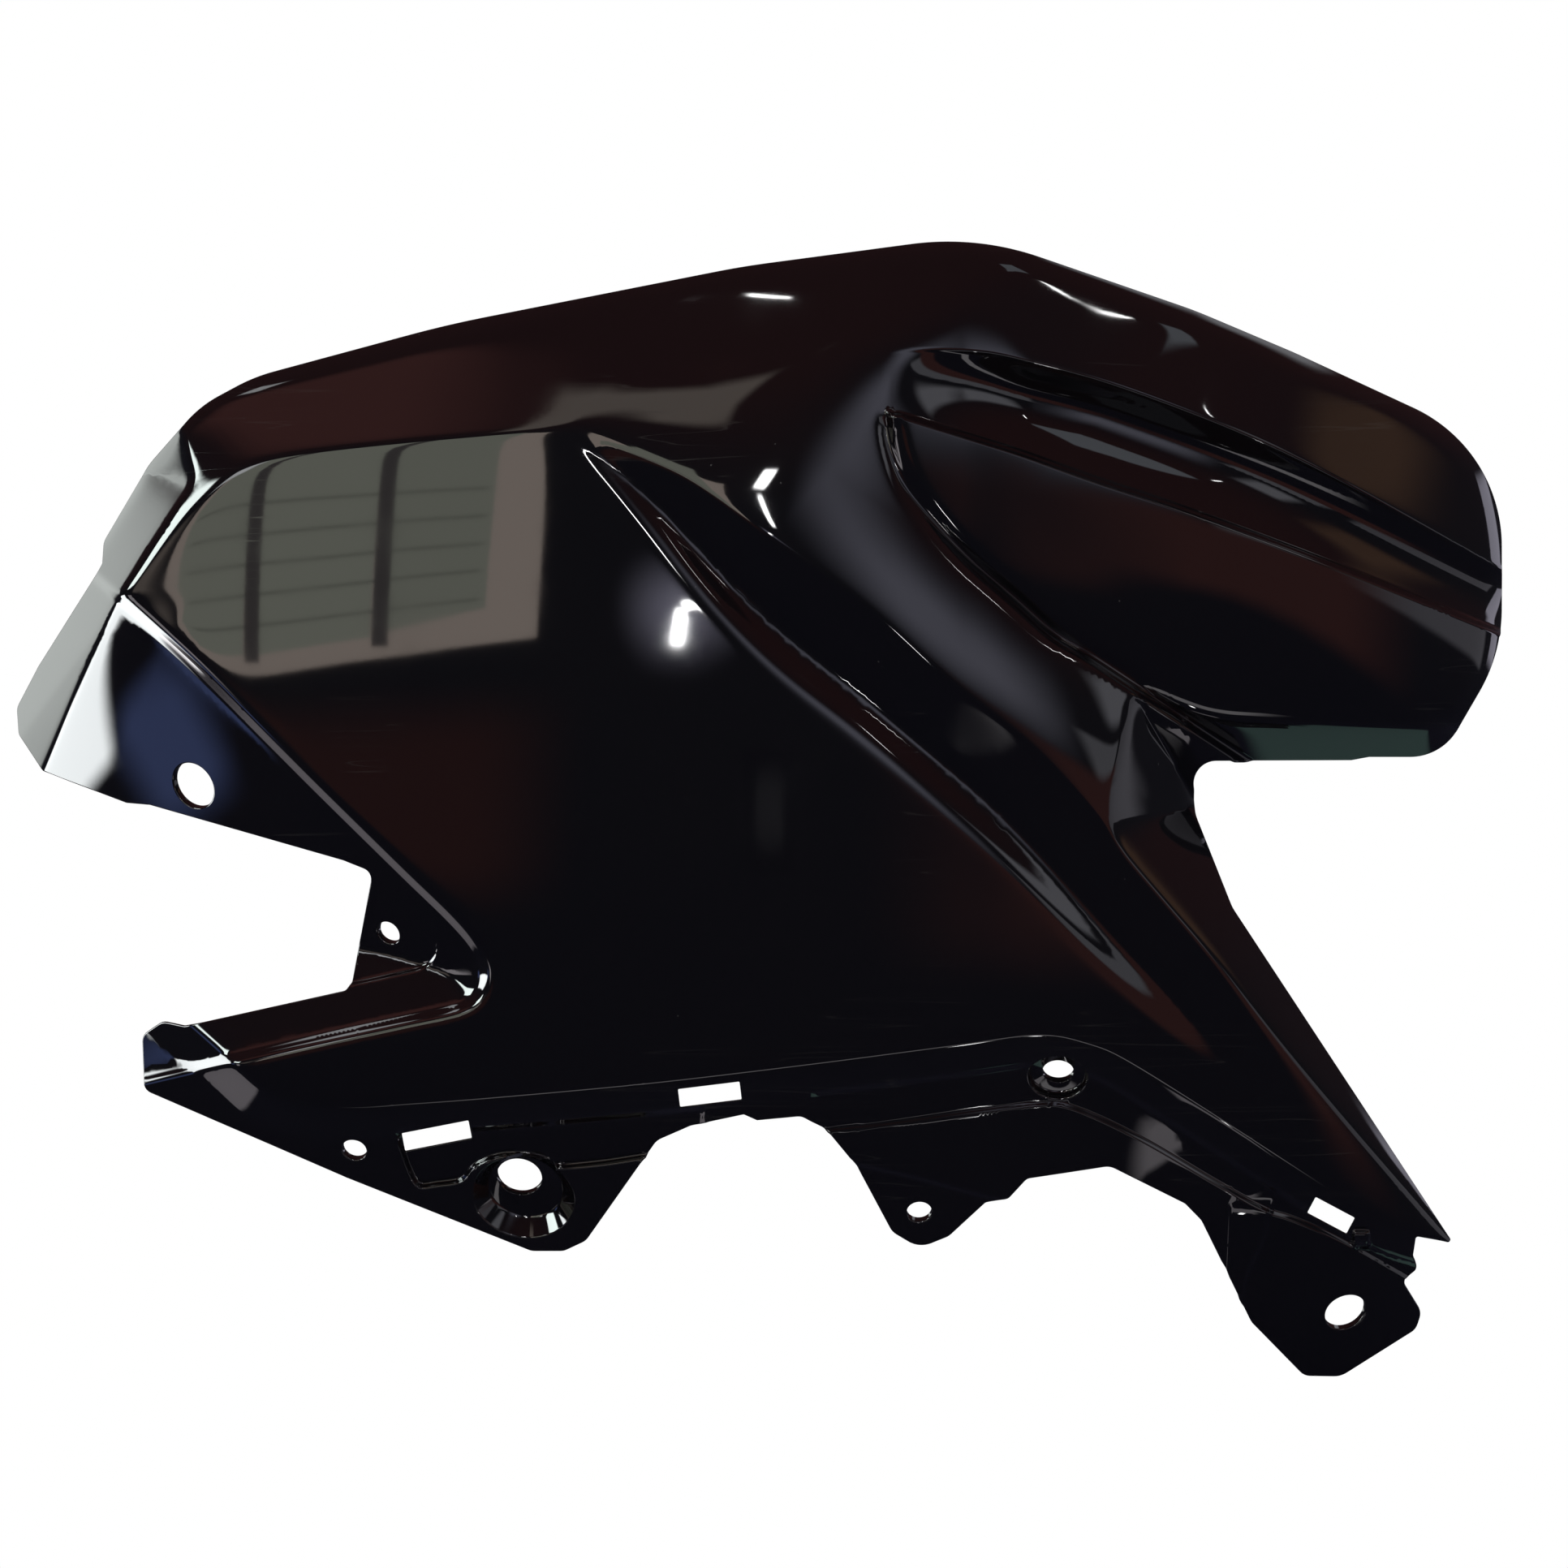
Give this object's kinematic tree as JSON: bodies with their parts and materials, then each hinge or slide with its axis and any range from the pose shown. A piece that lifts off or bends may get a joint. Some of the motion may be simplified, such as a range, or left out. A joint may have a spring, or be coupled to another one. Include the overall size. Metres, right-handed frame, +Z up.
{
  "type": "motorcycle side fairing panel",
  "caption": "One-piece moulded side fairing panel for a motorcycle, creased and double-curved, with ledges, bolt holes and hook slots along its lower border.",
  "frame": {"origin": "centre of the lower bolt hole on the outer face of its seat", "axes": "+X to the rear of the motorcycle, +Y inwards to the motorcycle (the outer face looks to -Y), +Z up"},
  "size_m": [0.5042, 0.1431, 0.3855],
  "materials": {
    "panel_gloss_black": "high gloss, injection-moulded black"
  },
  "bodies": {
    "root": {"fairing_panel": "panel_gloss_black"}
  },
  "joints": []
}
